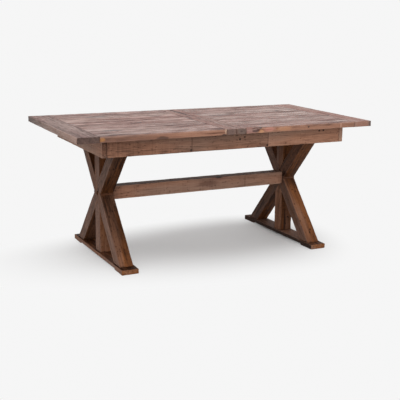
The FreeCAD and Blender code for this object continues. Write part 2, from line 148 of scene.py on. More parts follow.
def setCamera(look):
    yaw, dip, tilt = (math.radians(look[name]) for name in ("yaw", "dip", "tilt"))
    ahead = Vector((math.sin(yaw) * math.cos(dip), math.cos(yaw) * math.cos(dip), -math.sin(dip)))
    right = Vector((math.cos(yaw), -math.sin(yaw), 0))
    up = right.cross(ahead)
    tiltedRight = right * math.cos(tilt) + up * math.sin(tilt)
    tiltedUp = up * math.cos(tilt) - right * math.sin(tilt)
    data = bpy.data.cameras.new("camera")
    data.sensor_width = 36
    data.lens = look["lens"]
    data.shift_x, data.shift_y = look["shift"]
    camera = bpy.data.objects.new("camera", data)
    scene.collection.objects.link(camera)
    camera.matrix_world = Matrix((tiltedRight, tiltedUp, -ahead)).transposed().to_4x4()
    camera.location = look["place"]
    scene.camera = camera


setCamera(cameraLook)
print("camera set")


# Pale floor under an even white sky, with one broad lamp in front

stageLook = {
    "floorSide": 80.0,
    "floorTone": 0.80,
    "floorBounce": 0.30,      # what the floor throws back at the table
    "backdrop": 0.92,
    "glowCentre": (0.36, 0.09, 0.0),      # from here the floor fades into the backdrop's white
    "glowLeftFront": (1.85, 0.88, 1.0),
    "glowRightBack": (0.62, 0.51, 1.0),
    "glowFrom": 0.28,
    "lamps": [
        {"name": "front", "strength": 1.0, "spread": 60.0, "from": (-0.15, -1.0, 0.35)},
    ],
}


def setStage(look):
    bm = bmesh.new()
    bmesh.ops.create_grid(bm, x_segments=1, y_segments=1, size=look["floorSide"] / 2)
    mesh = bpy.data.meshes.new("floor")
    bm.to_mesh(mesh)
    bm.free()
    floor = bpy.data.objects.new("floor", mesh)
    scene.collection.objects.link(floor)
    material, wire, surface = blankFinish("floorPaper")
    seen, mirrored, through = (wire.node("LightPath", out="Is %s Ray" % kind)
                               for kind in ("Camera", "Glossy", "Transmission"))
    seen = seen.math("MAXIMUM", mirrored).math("MAXIMUM", through)
    bounce, tone, white = ((look[name],) * 3 + (1.0,)
                           for name in ("floorBounce", "floorTone", "backdrop"))
    seen.mix(bounce, tone).feed(surface, "Base Color")
    surface.inputs["Roughness"].default_value = 1.0
    surface.inputs["Specular IOR Level"].default_value = 0.0
    glow = wire.node("Emission", {}, {"Color": white})
    place = wire.node("TexCoord", out="Object")
    offset = place.vector("SUBTRACT", look["glowCentre"])
    leftFront = offset.vector("MINIMUM", (0, 0, 0)).vector("DIVIDE", look["glowLeftFront"])
    rightBack = offset.vector("MAXIMUM", (0, 0, 0)).vector("DIVIDE", look["glowRightBack"])
    share = leftFront.vector("ADD", rightBack).length().smooth(look["glowFrom"], 1.0)
    paper = Wire(wire.tree, surface.outputs[0])
    both = wire.node("MixShader", {}, {0: seen * share, 1: paper, 2: glow})
    both.feed(wire.tree.nodes["Material Output"], "Surface")
    mesh.materials.append(material)

    world = bpy.data.worlds.new("studio")
    world.use_nodes = True
    scene.world = world
    background = world.node_tree.nodes["Background"]
    background.inputs["Color"].default_value = (1, 1, 1, 1)
    background.inputs["Strength"].default_value = look["backdrop"]

    for each in look["lamps"]:
        lamp = bpy.data.lights.new(each["name"], "SUN")
        lamp.energy = each["strength"]
        lamp.angle = math.radians(each["spread"])
        holder = bpy.data.objects.new(each["name"], lamp)
        scene.collection.objects.link(holder)
        holder.rotation_euler = Vector(each["from"]).to_track_quat("Z", "Y").to_euler()


setStage(stageLook)
print("stage set")


# Stained pine: rings about a pith, fibres and streaks along the grain, pits, stains and saw marks

topPine = {
    "warm": [(77, 41, 34), (158, 108, 94), (210, 158, 142)],
    "grey": [(73, 48, 40), (146, 109, 97), (195, 157, 142)],
    "edge": [(66, 38, 26), (156, 109, 86), (200, 150, 122)],
    "streak": 1.15, "stain": 1.0, "fibre": 0.5, "late": 0.15, "dash": 0.85, "speck": 1.25, "pit": 0.2,
    "sawMarks": 0.15, "worn": 0.6, "grime": 0.5,
    "edgeShare": 0.35,      # grain that shows on the narrow sides
    "boards": 0.06,         # difference from board to board
    "sideGrey": 0.0,        # painted cool light: greyer where a face looks left or right
    "rough": 0.40, "shine": 0.43,
    "sheen": 0.55,          # how much duller dark grain is
}
crossPine = dict(
    topPine,
    edge=[(66, 44, 36), (154, 119, 104), (198, 160, 141)],
    streak=0.6, stain=0.8, fibre=0.3, dash=0.25, speck=0.7, worn=0.2, rough=0.46,
)
apronPine = dict(
    topPine,
    warm=[(70, 42, 30), (164, 117, 92), (206, 158, 132)],
    grey=[(64, 46, 38), (146, 112, 94), (186, 151, 131)],
    edge=None, streak=0.45, stain=0.6, late=0.12, dash=0.12, speck=0.30, pit=0.25,
    sawMarks=0.32, worn=0.45, grime=0.8, rough=0.6, shine=0.2, sheen=0.0,
)
trestlePine = dict(
    topPine,
    warm=[(46, 22, 8), (124, 76, 44), (172, 118, 80)],
    grey=[(44, 30, 24), (112, 84, 71), (160, 124, 106)],
    edge=None, streak=0.5, stain=0.55, late=0.15, dash=0.2, speck=0.5, pit=0.35,
    sawMarks=0.25, sideGrey=0.9, worn=0.18, grime=0.8, rough=0.6, shine=0.08, sheen=0.0, boards=0.02,
)
footPine = dict(trestlePine, sideGrey=0.1)
# painted shade: a darker copy of the trestle pine for the fillets that sit in the crossings' creases
creaseShadedPine = dict(
    trestlePine,
    warm=[(34, 16, 8), (84, 50, 32), (124, 76, 44)],
    grey=[(32, 22, 18), (78, 56, 45), (112, 84, 71)],
)
beechWood = dict(
    topPine,
    warm=[(130, 92, 60), (176, 136, 98), (206, 170, 132)],
    grey=[(126, 94, 66), (166, 132, 98), (196, 164, 130)],
    edge=None, streak=0.7, stain=0.5, late=0.06, dash=0.1, speck=0.2, pit=0.0,
    sawMarks=0.1, worn=0.3, rough=0.5, shine=0.4, sheen=0.0,
)
grainTurns = {
    "x": Euler((0, 0, 0)),
    "y": Euler((0, 0, -math.pi / 2)),
    "z": Euler((0, math.pi / 2, 0)),
}
pineGrain = {      # scale along and across the grain, then detail
    "drift": ((1.3, 3.5, 3.5), 2.0),
    "streaks": ((1.7, 34, 34), 4.0),
    "fibres": ((8, 270, 270), 3.0),
    "stain": ((1.5, 9, 9), 3.0),
    "dashes": ((5, 75, 75), 3.0),
    "specks": ((15, 85, 85), 3.0),
    "pits": ((60, 110, 110), 1.0),
    "saw": ((150, 4, 4), 1.5),
    "dashEdge": (0.56, 0.70),
    "pitEdge": (0.64, 0.72),
    "sawPatch": (0.42, 0.58),
    "greyEdge": (0.38, 0.62),
    "wornEdge": (0.3, 0.55),
    "dirtEdge": (0.3, 0.7),
    "sideEdge": (0.2, 0.8),
    "pithSide": 0.03, "pithDepth": (0.03, 0.09),
    "ringPitch": 0.0052, "ringWander": 0.06, "ringStreak": 0.9,
    "lateRise": (0.4, 0.9), "lateFall": (0.92, 1.0),
    "knotReach": 3.0, "knotBend": 2.4, "markSaw": 0.3,
    "bump": 0.5, "bumpDepth": 0.0012,
    "bumpFibre": 0.45, "bumpStreak": 0.3, "bumpLate": 0.25, "bumpSaw": 0.6,
    "roughFibre": 0.25, "roughStain": 0.2,
}


def mark(at, size, tint, share=0.9, ragged=1.0, soft=0.5, knot=False):
    # a knot, nail hole, chip, odd stain or patch of painted shade at a chosen place
    return {"at": at, "size": size, "tint": tint, "share": share,
            "ragged": ragged, "soft": soft, "knot": knot}


def pineFinish(name, look, centre, turn, marks=()):
    draw = random.Random(name)
    material, wire, surface = blankFinish(name)
    place = wire.node("TexCoord", out="Object")
    shift = -(turn.to_matrix() @ centre)
    local = wire.node("Mapping", {}, {"Vector": place, "Location": shift, "Rotation": turn})
    seeded = local.vector("ADD", [draw.uniform(-30, 30) for axis in range(3)])
    drift = seeded.noise(*pineGrain["drift"], "Color")
    streaks = seeded.noise(*pineGrain["streaks"])
    fibres = seeded.noise(*pineGrain["fibres"])
    stain = seeded.noise(*pineGrain["stain"])
    dashes = seeded.noise(*pineGrain["dashes"]).smooth(*pineGrain["dashEdge"])
    specks = seeded.noise(*pineGrain["specks"])
    pits = seeded.noise(*pineGrain["pits"]).smooth(*pineGrain["pitEdge"])
    saw = seeded.noise(*pineGrain["saw"])

    covers = []
    bulge = 0.0
    for each in marks:
        reach = place.vector("SUBTRACT", each["at"]).vector("DIVIDE", each["size"]).length()
        ragged = reach + (streaks - 0.5) * each["ragged"] + (saw - 0.5) * pineGrain["markSaw"]
        cover = 1 - ragged.smooth(1 - each["soft"], 1.0)
        covers.append((cover * each["share"], shade(*each["tint"])))
        if each["knot"]:      # rings bend round it
            bulge = (1 - reach.smooth(0.0, pineGrain["knotReach"])) * pineGrain["knotBend"] + bulge

    side, sway = pineGrain["pithSide"], pineGrain["ringWander"]
    pith = (0, draw.uniform(-side, side), draw.choice((-1, 1)) * draw.uniform(*pineGrain["pithDepth"]))
    wander = drift.vector("SUBTRACT", (0.5, 0.5, 0.5)).vector("MULTIPLY", (0, sway, sway))
    across = local.vector("MULTIPLY", (0, 1, 1)).vector("SUBTRACT", pith).vector("ADD", wander)
    phase = across.length() / pineGrain["ringPitch"] + streaks * pineGrain["ringStreak"] + bulge
    ring = phase.math("FRACT")
    late = ring.smooth(*pineGrain["lateRise"]) * (1 - ring.smooth(*pineGrain["lateFall"]))

    patchy = wire.node("SeparateColor", {}, {"Color": drift}, "Red")
    sawLines = (saw - 0.5) * patchy.smooth(*pineGrain["sawPatch"]) * look["sawMarks"]
    grainTone = (streaks - 0.5) * look["streak"] + (stain - 0.5) * look["stain"]
    grainTone = grainTone + (fibres - 0.5) * look["fibre"] + (specks - 0.5) * look["speck"]
    grainTone = grainTone - dashes * look["dash"] - late * look["late"] + sawLines - pits * look["pit"]
    # the board's side tone, partly painted shade on the trestles and the stretcher, and a random step
    # from board to board
    faceTone = wire.attribute("tone") + (0.5 + draw.uniform(-1, 1) * look["boards"])
    tone = grainTone + faceTone
    facing = wire.node("NewGeometry", out="Normal")
    sideways = wire.node("SeparateXYZ", {}, {"Vector": facing}, "X").math("ABSOLUTE")
    # grey from the stain's patches is the wood's own; the part from the face's sideways turn is painted
    # cool light
    greyStainAndLight = stain.smooth(*pineGrain["greyEdge"]) + (sideways - 0.5) * look["sideGrey"]
    colour = greyStainAndLight.mix(tone.toned(look["warm"]), tone.toned(look["grey"]))
    if look["edge"]:
        upward = wire.node("SeparateXYZ", {}, {"Vector": facing}, "Z").smooth(*pineGrain["sideEdge"])
        sideTone = grainTone * look["edgeShare"] + faceTone
        colour = upward.mix(sideTone.toned(look["edge"]), colour)
    for cover, tint in covers:
        colour = cover.mix(colour, tint)
    patches = fibres.smooth(*pineGrain["wornEdge"]) * streaks.smooth(*pineGrain["wornEdge"])
    # pale arrises, partly wear and partly painted highlight
    worn = wire.attribute("wear") * patches
    colour = (worn * look["worn"]).mix(colour, shade(*look["grey"][2]))
    dirt = wire.attribute("grime") * streaks.smooth(*pineGrain["dirtEdge"])
    colour = (dirt * look["grime"]).mix(colour, shade(*look["warm"][0]))
    colour.feed(surface, "Base Color")

    height = fibres * pineGrain["bumpFibre"] + streaks * pineGrain["bumpStreak"]
    height = height - late * pineGrain["bumpLate"] + sawLines * pineGrain["bumpSaw"]
    relief = {"Strength": pineGrain["bump"], "Distance": pineGrain["bumpDepth"], "Height": height}
    wire.node("Bump", {}, relief).feed(surface, "Normal")
    roughness = (fibres - 0.5) * pineGrain["roughFibre"] + (stain - 0.5) * pineGrain["roughStain"]
    (roughness - grainTone * look["sheen"] + look["rough"]).feed(surface, "Roughness")
    surface.inputs["Specular IOR Level"].default_value = look["shine"]
    return material


# Boards: eased, gently uneven and knocked about along the free arrises

boardWear = {
    "arris": 0.0018,
    "cell": 0.010,
    "bite": 0.0022,           # how far an arris is knocked back
    "reach": 0.007,
    "jointShare": 0.1,
    "lumpBase": 0.2,
    "lumps": [(16, 0.55), (55, 0.5)],      # scale and amount
    "swell": 0.0006,
    "swellScale": 6,
    "paleReach": 0.010,
    "lowerShare": 0.2,
    "dirtReach": 0.009,
    "endTone": -0.3,
}
axisTurns = {
    "x": Matrix(((1, 0, 0), (0, 1, 0), (0, 0, 1))),
    "y": Matrix(((0, -1, 0), (1, 0, 0), (0, 0, 1))),
    "z": Matrix(((0, 0, -1), (0, 1, 0), (1, 0, 0))),
}


def longAxis(edge):
    run = edge.verts[1].co - edge.verts[0].co
    return max(range(3), key=lambda axis: abs(run[axis]))


def boardMesh(size, wear):
    bm = bmesh.new()
    bmesh.ops.create_cube(bm, size=1.0)
    bmesh.ops.scale(bm, vec=size, verts=bm.verts)
    for axis in range(3):
        cuts = max(1, round(size[axis] / wear["cell"]) - 1)
        along = [edge for edge in bm.edges if longAxis(edge) == axis]
        bmesh.ops.subdivide_edges(bm, edges=along, cuts=cuts, use_grid_fill=True)
    arrises = [edge for edge in bm.edges if edge.calc_face_angle(0) > 1]
    bmesh.ops.bevel(bm, geom=arrises, offset=wear["arris"], segments=2, profile=0.5,
                    affect="EDGES", material=-1, clamp_overlap=True)
    return bm


def alongBoard(stops, share):
    # a value at each share of the board's length, straight between them
    for (start, first), (end, last) in zip(stops, stops[1:]):
        if share <= end:
            return first + (last - first) * max(0.0, share - start) / (end - start)
    return stops[-1][1]


def weather(bm, size, wear, joints, seed, tones):
    # x runs along the grain; joints lists the sides that meet another board
    # and tones how much lighter or darker a side is, or its stops along the grain,
    # which on the trestles and the stretcher is partly painted shade
    worn = bm.verts.layers.float.new("wear")
    dirty = bm.verts.layers.float.new("grime")
    toned = bm.verts.layers.float.new("tone")
    draw = random.Random(seed)
    offset = Vector([draw.uniform(-50, 50) for axis in range(3)])
    half = Vector(size) / 2
    for vert in bm.verts:
        spot = vert.co + offset
        gaps = [half[axis] - abs(vert.co[axis]) for axis in range(3)]
        order = sorted(range(3), key=lambda axis: gaps[axis])
        sides = ["-+"[vert.co[axis] > 0] + "xyz"[axis] for axis in order[:2]]
        jointed = any(side in joints for side in sides)
        edgeGap = gaps[order[1]]
        lumps = wear["lumpBase"]
        for scale, amount in wear["lumps"]:
            lumps += amount * noise.noise(spot * scale)
        share = max(0.0, 1 - edgeGap / wear["reach"])
        bite = wear["bite"] * share * share * max(0.0, lumps) * (wear["jointShare"] if jointed else 1.0)
        for axis in order[:2]:
            near = max(0.0, 1 - gaps[axis] / wear["reach"])
            vert.co[axis] -= math.copysign(bite * near, vert.co[axis])
        flat = order[0]
        dip = wear["swell"] * (0.5 + 0.5 * noise.noise(spot * wear["swellScale"]))
        vert.co[flat] -= math.copysign(dip, vert.co[flat])
        if jointed:
            vert[dirty] = max(0.0, 1 - edgeGap / wear["dirtReach"])
        # pale arrises: partly wear, partly a painted highlight, full on the upper arrises and weaker on
        # the lower ones
        elif flat != 0:
            upper = 1.0 if vert.co.z > 0 else wear["lowerShare"]
            vert[worn] = max(0.0, 1 - edgeGap / wear["paleReach"]) * upper
        tone = tones.get(sides[0], wear["endTone"] if flat == 0 else 0.0)
        vert[toned] = alongBoard(tone, vert.co.x / size[0] + 0.5) if isinstance(tone, list) else tone


def loose(name, bm):
    mesh = bpy.data.meshes.new(name)
    bm.to_mesh(mesh)
    bm.free()
    made = bpy.data.objects.new(name, mesh)
    scene.collection.objects.link(made)
    return made


def carved(bm, cutters):
    # takes each cutter's shape out of the board
    block = loose("block", bm)
    tools = [loose("tool", cutter) for cutter in cutters]
    for tool in tools:
        cut = block.modifiers.new("cut", "BOOLEAN")
        cut.solver = "EXACT"
        cut.operation = "DIFFERENCE"
        cut.object = tool
    graph = bpy.context.evaluated_depsgraph_get()
    cutBlock = block.evaluated_get(graph)
    mesh = bpy.data.meshes.new_from_object(cutBlock, preserve_all_data_layers=True, depsgraph=graph)
    result = bmesh.new()
    result.from_mesh(mesh)
    for spent in [block] + tools:
        bpy.data.meshes.remove(spent.data)
    bpy.data.meshes.remove(mesh)
    return result


def drill(at, axis, radius, depth):
    # a round cutter that goes depth into the face at this place
    bm = bmesh.new()
    turn = Vector(axis).to_track_quat("Z", "Y").to_matrix().to_4x4()
    bmesh.ops.create_cone(bm, cap_ends=True, segments=28, radius1=radius, radius2=radius,
                          depth=depth * 2, matrix=Matrix.Translation(at) @ turn)
    return bm


sharpAngle = math.radians(40)


def addPiece(name, bm, body, finish, replaced):
    mesh = bpy.data.meshes.new(name)
    bm.to_mesh(mesh)
    bm.free()
    mesh.shade_smooth()
    mesh.set_sharp_from_angle(angle=sharpAngle)
    mesh.materials.append(finish)
    piece = bpy.data.objects.new(name, mesh)
    scene.collection.objects.link(piece)
    piece.modifiers.new("evenShading", "WEIGHTED_NORMAL").keep_sharp = True
    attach(piece, body)
    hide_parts(*replaced)


def wornBoard(low, high, grain, joints, seed, tones=None, wear=boardWear):
    turn = axisTurns[grain]
    size = [abs(span) for span in turn.transposed() @ (high - low)]
    bm = boardMesh(size, wear)
    weather(bm, size, wear, joints, seed, tones or {})
    place = Matrix.Translation((low + high) / 2) @ turn.to_4x4()
    bmesh.ops.transform(bm, matrix=place, verts=bm.verts)
    return bm


def board(node, low, high, grain, look, joints=(), marks=(), cutters=(), shape=None,
          tones=None, body="frame", slot="frame_pine"):
    bm = wornBoard(low, high, grain, joints, node, tones)
    if shape:
        shape(bm)
    if cutters:
        bm = carved(bm, cutters)
    finish = pineFinish("pine_" + node, look, (low + high) / 2, grainTurns[grain], marks)
    addPiece("worn_" + node, bm, body, finish, [node])


# Table top: end boards and seam boards run across, five planks between them run along

seamMarks = [
    mark((0.0, 0.330, 0.760), (0.010, 0.260, 0.05), (46, 26, 24), share=1.0, ragged=0.3, soft=0.3),
    mark((0.0, 0.010, 0.760), (0.009, 0.050, 0.05), (60, 36, 32), ragged=0.3, soft=0.4),
    mark((0.0, -0.230, 0.760), (0.007, 0.240, 0.05), (84, 56, 50), share=0.5),
]
topMarks = {
    "left_plank_5": [
        mark((-0.526, 0.438, 0.760), (0.030, 0.016, 0.03), (52, 34, 28), knot=True),
        mark((-0.184, 0.440, 0.760), (0.034, 0.016, 0.03), (52, 34, 28), knot=True),
        mark((-0.547, 0.276, 0.760), (0.090, 0.018, 0.03), (58, 40, 34), share=0.8),
    ],
    "left_plank_4": [
        mark((-0.547, 0.264, 0.760), (0.090, 0.018, 0.03), (58, 40, 34), share=0.8),
        mark((-0.210, 0.190, 0.760), (0.075, 0.014, 0.03), (62, 42, 36), share=0.8),
    ],
    "left_plank_3": [
        mark((-0.683, 0.052, 0.760), (0.022, 0.015, 0.03), (56, 36, 30), knot=True),
        mark((-0.770, 0.013, 0.760), (0.024, 0.014, 0.03), (60, 40, 32), knot=True),
        mark((-0.398, -0.034, 0.760), (0.022, 0.014, 0.03), (50, 32, 28), knot=True),
        mark((-0.062, 0.010, 0.760), (0.008, 0.080, 0.03), (70, 44, 40), ragged=2.0),
    ],
    "left_plank_2": [
        mark((-0.648, -0.262, 0.760), (0.075, 0.014, 0.03), (56, 38, 32), share=0.85),
    ],
    "left_plank_1": [
        mark((-0.648, -0.277, 0.760), (0.075, 0.014, 0.03), (56, 38, 32), share=0.85),
        mark((-0.436, -0.450, 0.734), (0.040, 0.03, 0.016), (66, 40, 30), knot=True, share=0.75,
             ragged=2.2),
        mark((-0.770, -0.450, 0.745), (0.028, 0.03, 0.015), (180, 122, 66), share=0.75),
        # painted shadow: a black spot where a chunk is missing under the plank's right end
        mark((-0.078, -0.450, 0.727), (0.020, 0.03, 0.011), (28, 14, 12), ragged=0.5),
        mark((-0.066, -0.450, 0.748), (0.008, 0.01, 0.018), (214, 180, 154), share=0.6),
    ],
    "right_plank_4": [
        mark((0.622, 0.156, 0.760), (0.026, 0.016, 0.03), (52, 32, 28), knot=True),
        mark((0.181, 0.100, 0.760), (0.120, 0.013, 0.03), (64, 44, 38), share=0.8),
    ],
    "right_plank_3": [
        mark((0.181, 0.083, 0.760), (0.120, 0.011, 0.03), (64, 44, 38), share=0.8),
    ],
    "right_plank_1": [
        mark((0.085, -0.440, 0.745), (0.050, 0.03, 0.03), (138, 98, 90), share=0.75),
        mark((0.152, -0.450, 0.736), (0.024, 0.02, 0.013), (206, 150, 108), share=0.7),
        mark((0.122, -0.445, 0.747), (0.031, 0.03, 0.022), (64, 32, 28), ragged=0.8),
        mark((0.150, -0.450, 0.757), (0.012, 0.014, 0.007), (50, 28, 26), ragged=0.4),
        mark((0.205, -0.450, 0.746), (0.046, 0.01, 0.014), (204, 138, 122), share=0.6),
        mark((0.256, -0.450, 0.748), (0.010, 0.01, 0.008), (136, 84, 48), share=0.7),
        mark((0.300, -0.450, 0.744), (0.060, 0.01, 0.014), (198, 142, 104), share=0.5),
        mark((0.462, -0.450, 0.746), (0.008, 0.01, 0.006), (34, 22, 20), ragged=0.2),
        mark((0.242, -0.450, 0.724), (0.008, 0.01, 0.006), (34, 22, 20), ragged=0.2),
        mark((0.685, -0.450, 0.744), (0.005, 0.01, 0.02), (196, 150, 126), ragged=0.2),
    ],
    "left_seam_board": seamMarks + [
        mark((-0.030, -0.450, 0.746), (0.036, 0.01, 0.03), (114, 91, 85), share=0.5),
        mark((-0.060, 0.010, 0.760), (0.008, 0.080, 0.03), (70, 44, 40), ragged=2.0),
    ],
    "right_seam_board": seamMarks + [
        mark((0.030, -0.450, 0.746), (0.036, 0.01, 0.03), (116, 98, 89), share=0.55),
        mark((0.030, -0.452, 0.744), (0.010, 0.01, 0.008), (72, 52, 46), share=0.7),
    ],
    "right_end_board": [
        mark((0.800, -0.146, 0.760), (0.014, 0.024, 0.03), (54, 34, 30), knot=True),
        mark((0.830, -0.450, 0.744), (0.075, 0.01, 0.03), (156, 108, 90), share=0.6),
        mark((0.897, -0.452, 0.744), (0.022, 0.02, 0.04), (84, 64, 58), share=0.8),
    ],
}
topTones = {
    "left_end_board": {"+z": -0.28, "-x": -0.48, "+y": [(0.0, 0.08), (0.5, -0.18), (1.0, -0.46)]},
    "left_plank_1": {
        "-y": [(0.0, -0.30), (0.25, -0.20), (0.5, 0.0), (0.65, 0.08), (1.0, 0.06)],
        "+z": [(0.0, -0.08), (0.4, 0.0), (1.0, 0.0)],
    },
    "left_plank_3": {"+z": 0.05},
    "left_plank_4": {"+z": 0.05},
    "left_seam_board": {"-x": -0.26},
    "right_seam_board": {"-x": -0.26},
    "right_plank_1": {"-y": [(0.0, 0.08), (0.5, 0.05), (1.0, -0.06)]},
    "right_end_board": {"-x": -0.06},
}
wane = {
    "from": 0.06, "to": 0.152, "depth": 0.032,
    "runOut": 2.5, "even": 0.85, "lump": 0.3, "lumpScale": 60,
}
plankCount = 5
seamSocket = {"pinRadius": 0.005, "radius": 0.0053, "spare": 0.001}


def waneCorner(bm):
    # the upper front arris of the right front plank is gone beside the seam
    low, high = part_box("right_plank_1")
    for vert in bm.verts:
        share = (wane["to"] - vert.co.x) / (wane["to"] - wane["from"])
        if share > 0:
            rough = wane["even"] + wane["lump"] * noise.noise(vert.co * wane["lumpScale"])
            depth = wane["depth"] * min(1.0, share * wane["runOut"]) * rough
            missing = depth - (vert.co.y - low.y) - (high.z - vert.co.z)
            if missing > 0:
                vert.co.y += missing / 2
                vert.co.z -= missing / 2


def topBoards(side):
    seamLow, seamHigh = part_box(side + "_seam_board")
    endLow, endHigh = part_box(side + "_end_board")
    sits = {"body": side + "_top", "slot": "top_pine"}
    isLeft = side == "left"
    inner, outer = ("-y", "+y") if isLeft else ("+y", "-y")
    name = side + "_end_board"
    board(name, endLow, endHigh, "y", crossPine, [inner], topMarks.get(name, ()),
          tones=topTones[name], **sits)
    sockets = []
    if not isLeft:
        pinLow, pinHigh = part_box("seam_pins")
        depth = pinHigh.x - seamLow.x + seamSocket["spare"]
        for y in (pinLow.y + seamSocket["pinRadius"], pinHigh.y - seamSocket["pinRadius"]):
            spot = Vector((seamLow.x, y, (pinLow.z + pinHigh.z) / 2))
            sockets.append(drill(spot, (1, 0, 0), seamSocket["radius"], depth))
    name = side + "_seam_board"
    board(name, seamLow, seamHigh, "y", crossPine, [inner, outer], topMarks[name], sockets,
          tones=topTones[name], **sits)
    xFrom, xTo = (endHigh.x, seamLow.x) if isLeft else (seamHigh.x, endLow.x)
    rows = [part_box("%s_plank_%d" % (side, number + 1)) for number in range(plankCount)]
    fronts = [low.y for low, high in rows] + [rows[-1][1].y]
    for number in range(plankCount):
        name = "%s_plank_%d" % (side, number + 1)
        low = Vector((xFrom, fronts[number], endLow.z))
        high = Vector((xTo, fronts[number + 1], endHigh.z))
        joined = ["-x", "+x"] + ["-y"] * (number > 0) + ["+y"] * (number < plankCount - 1)
        shape = waneCorner if name == "right_plank_1" else None
        board(name, low, high, "x", topPine, joined, topMarks.get(name, ()), shape=shape,
              tones=topTones.get(name), **sits)


for side in ("left", "right"):
    topBoards(side)
print("top boards made")


# Apron

nailHoles = {
    "spots": [(0.580, 0.710), (0.609, 0.710), (0.087, 0.701), (0.057, 0.690), (0.233, 0.646),
              (-0.241, 0.648)],
    "joints": (-0.237, 0.237),
    "radius": 0.003,
    "depth": 0.005,
    "stain": {"size": (0.008, 0.02, 0.007), "tint": (36, 24, 20), "ragged": 0.3},
    "line": {"size": (0.0025, 0.02, 0.08), "tint": (74, 50, 42), "ragged": 0.1},
}
apronTones = {
    "front_apron": {
        "-y": [(0.0, -0.02), (0.335, -0.05), (0.337, -0.08), (0.663, 0.0), (0.665, 0.17), (1.0, 0.12)],
    },
    "left_end_apron": {"+y": 0.16},
    "right_end_apron": {"-x": 0.10},
}


def apronBoards(holes):
    for node in ("front_apron", "back_apron"):
        low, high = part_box(node)
        face, inward = (low.y, 1) if node == "front_apron" else (high.y, -1)
        cutters = []
        marks = []
        for x, z in holes["spots"]:
            at = Vector((x * inward, face, z))
            cutters.append(drill(at, (0, inward, 0), holes["radius"], holes["depth"]))
            marks.append(mark(at, **holes["stain"]))
        for x in holes["joints"]:
            at = Vector((x * inward, face, (low.z + high.z) / 2))
            marks.append(mark(at, **holes["line"]))
        board(node, low, high, "x", apronPine, ("-x", "+x"), marks, cutters, tones=apronTones.get(node))
    for node in ("left_end_apron", "right_end_apron"):
        low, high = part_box(node)
        board(node, low, high, "y", apronPine, tones=apronTones.get(node))


apronBoards(nailHoles)
print("apron made")


# Trestles: halved crossing legs, posts fitted into the crossings, feet relieved underneath

crossing = {
    "counterbore": 0.025,
    "counterboreDepth": 0.016,
    "lapGap": 0.0002,
    "lapReach": 0.06,
    "lapHeight": 0.5,
    "weld": 0.0002,
}
# painted light and shade on top of the wood's own tone: these sides and stops along the grain darken
# the crossings' waists, the down-facing fronts of the upper arms, the foot tops in front of the legs
# and the right trestle's faces toward the table, and lighten some outer faces
trestleToneAndShade = {
    "left_leg_leaning_back": {
        "-y": [(0.0, 0.03), (0.25, -0.25), (0.46, -0.37), (1.0, -0.15)],
        "+z": [(0.0, 0.18), (0.3, 0.22), (0.5, 0.08), (1.0, 0.0)],
    },
    "left_leg_leaning_forward": {"-y": -0.2, "+z": [(0.0, -0.04), (0.5, 0.0), (1.0, 0.0)]},
    "left_upper_post": {"+z": 0.10},
    "left_lower_post": {"+z": 0.06, "-y": 0.10},
    "left_foot": {
        "+z": [(0.0, -0.45), (0.14, -0.45), (0.2, -0.25), (1.0, -0.3)], "-x": 0.08, "+y": 0.2,
    },
    "right_leg_leaning_back": {
        "-y": [(0.0, -0.04), (0.1, -0.02), (0.25, 0.07), (0.42, 0.03), (0.5, -0.22), (1.0, -0.1)],
        "+z": [(0.0, 0.06), (0.5, -0.05), (1.0, 0.14)],
    },
    "right_leg_leaning_forward": {
        "-y": [(0.0, -0.10), (0.5, -0.24), (0.7, -0.10), (1.0, -0.06)],
        "+z": [(0.0, -0.22), (0.5, -0.12), (1.0, 0.04)],
    },
    "right_upper_post": {"+z": 0.18},
    "right_lower_post": {"+z": 0.14, "-y": -0.28},
    "right_foot": {
        "+z": [(0.0, -0.28), (0.12, -0.28), (0.16, -0.04), (0.45, 0.0), (0.62, -0.2), (1.0, -0.2)],
        "-x": 0.17, "+y": -0.5,
    },
}
legLow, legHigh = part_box("left_leg_leaning_back")
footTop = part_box("left_foot")[1].z
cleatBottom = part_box("left_cleat")[0].z
stretcherLow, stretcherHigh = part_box("stretcher")
crossHeight = (stretcherLow.z + stretcherHigh.z) / 2
# the foot of this leg reaches further forward than its top reaches back
slope = (legLow.y + legHigh.y) / (footTop + cleatBottom - 2 * crossHeight)
halfWidth = -legLow.y - slope * (crossHeight - footTop)      # of a leg, measured level


def crossingShade(side):
    # painted shade: a dark gap at the tip of the left posts, a contact shadow beside the stretcher's
    # right end and shade in the front creases of the crossings
    if side == "left":
        gap = mark((legLow.x, -0.013, 0.386), (0.02, 0.013, 0.022), (34, 16, 10))
    else:
        gap = mark((-legHigh.x, -0.060, 0.395), (0.02, 0.026, 0.034), (44, 22, 12))
    middle = (legLow.x + legHigh.x) / 2 * (1 if side == "left" else -1)
    crease = mark((middle, -halfWidth, crossHeight), (0.06, 0.014, 0.010), (74, 44, 28))
    return [gap, crease]


def leanMatrix(lean):
    matrix = Matrix.Identity(4)
    matrix[1][2] = lean * slope
    matrix[1][3] = -lean * slope * crossHeight
    return matrix


def lapCutter(xFrom, xTo, lean):
    bm = bmesh.new()
    bmesh.ops.create_cube(bm, size=1.0)
    width = 2 * (halfWidth + crossing["lapGap"])
    bmesh.ops.scale(bm, vec=(abs(xTo - xFrom), width, crossing["lapHeight"]), verts=bm.verts)
    bmesh.ops.translate(bm, vec=((xFrom + xTo) / 2, 0, crossHeight), verts=bm.verts)
    bmesh.ops.transform(bm, matrix=leanMatrix(lean), verts=bm.verts)
    return bm


